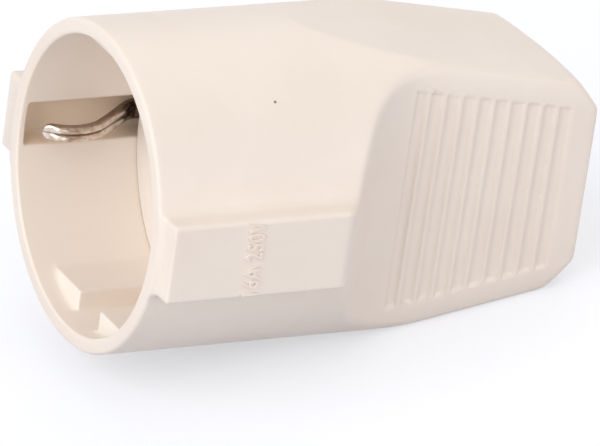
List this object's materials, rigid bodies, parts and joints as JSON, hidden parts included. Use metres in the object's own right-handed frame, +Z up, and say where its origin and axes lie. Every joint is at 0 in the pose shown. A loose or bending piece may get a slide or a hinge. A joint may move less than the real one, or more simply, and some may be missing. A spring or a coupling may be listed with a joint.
{
  "type": "in-line power socket",
  "caption": "Hand-held in-line power socket with a round plug well, side earth clips, guide ribs, a ribbed grip and a cord entry at the rear.",
  "frame": {"origin": "on the plug's axis, in the plane of the mouth", "axes": "+X from the mouth along the plug's axis to the cord end, +Y across the two earth clips, +Z up through the two pin holes"},
  "size_m": [0.0689, 0.05, 0.0434],
  "materials": {
    "casing_ivory": "glossy moulded ivory",
    "insert_white": "satin moulded off-white",
    "nickel_plate": "bright nickel plate",
    "contact_brass": "bright",
    "screw_steel": "zinc plated"
  },
  "bodies": {
    "root": {"casing": "casing_ivory", "contact_carrier": "insert_white", "carrier_back": "insert_white", "cord_clamp": "insert_white", "earth_bow": "nickel_plate", "earth_bow_screw": "screw_steel", "earth_terminal": "contact_brass", "earth_terminal_screw": "screw_steel", "carrier_screw": "screw_steel", "line_contact": "contact_brass", "neutral_contact": "contact_brass", "line_spring": "screw_steel", "neutral_spring": "screw_steel", "line_terminal": "contact_brass", "neutral_terminal": "contact_brass", "line_terminal_screw": "screw_steel", "neutral_terminal_screw": "screw_steel", "upper_insert_screw": "screw_steel", "lower_insert_screw": "screw_steel", "upper_clamp_screw": "screw_steel", "lower_clamp_screw": "screw_steel"}
  },
  "joints": []
}
